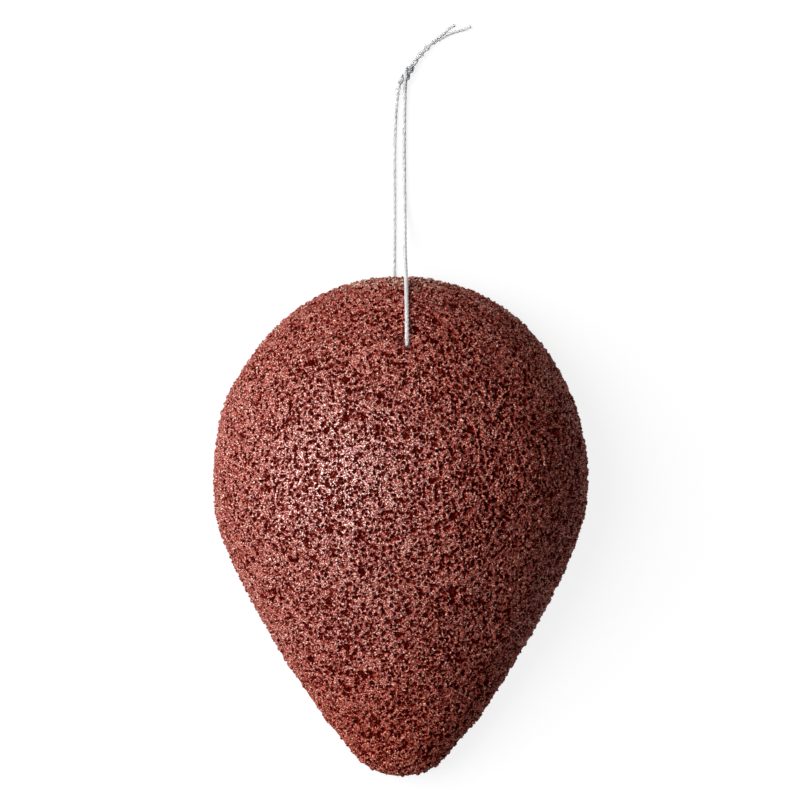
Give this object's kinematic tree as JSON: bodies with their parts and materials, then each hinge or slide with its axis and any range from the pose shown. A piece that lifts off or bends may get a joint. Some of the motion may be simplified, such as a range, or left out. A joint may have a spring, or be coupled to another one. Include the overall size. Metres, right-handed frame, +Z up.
{
  "type": "konjac sponge",
  "caption": "Half-drop konjac facial sponge in red-clay foam, flat back and domed front, threaded near its broad end with a thin white cotton cord knotted into a hanging loop with loose tails.",
  "frame": {"origin": "on the flat back, under the middle of the sponge's length and width", "axes": "+Z up from the flat back towards the dome, +Y from the tip to the broad end and its cord, +X to the right in the front view"},
  "size_m": [0.06, 0.1211, 0.03],
  "materials": {
    "foam": "fine open-cell foam, moist, red-clay colour",
    "cord": "twisted cotton string, undyed white"
  },
  "bodies": {
    "sponge": {"sponge": "foam", "cord_over_dome": "cord", "cord_through_sponge": "cord", "cord_under_back": "cord"},
    "loop": {"loop_front_strand": "cord", "loop_back_strand": "cord", "knot": "cord", "tail_upper": "cord", "tail_lower": "cord"}
  },
  "joints": [
    {"name": "loop_swing", "type": "hinge", "parent": "sponge", "child": "loop", "pos_m": [0.00094, 0.043, 0.0057], "axis": [0, 0, 1], "range_deg": [-80, 80]}
  ]
}
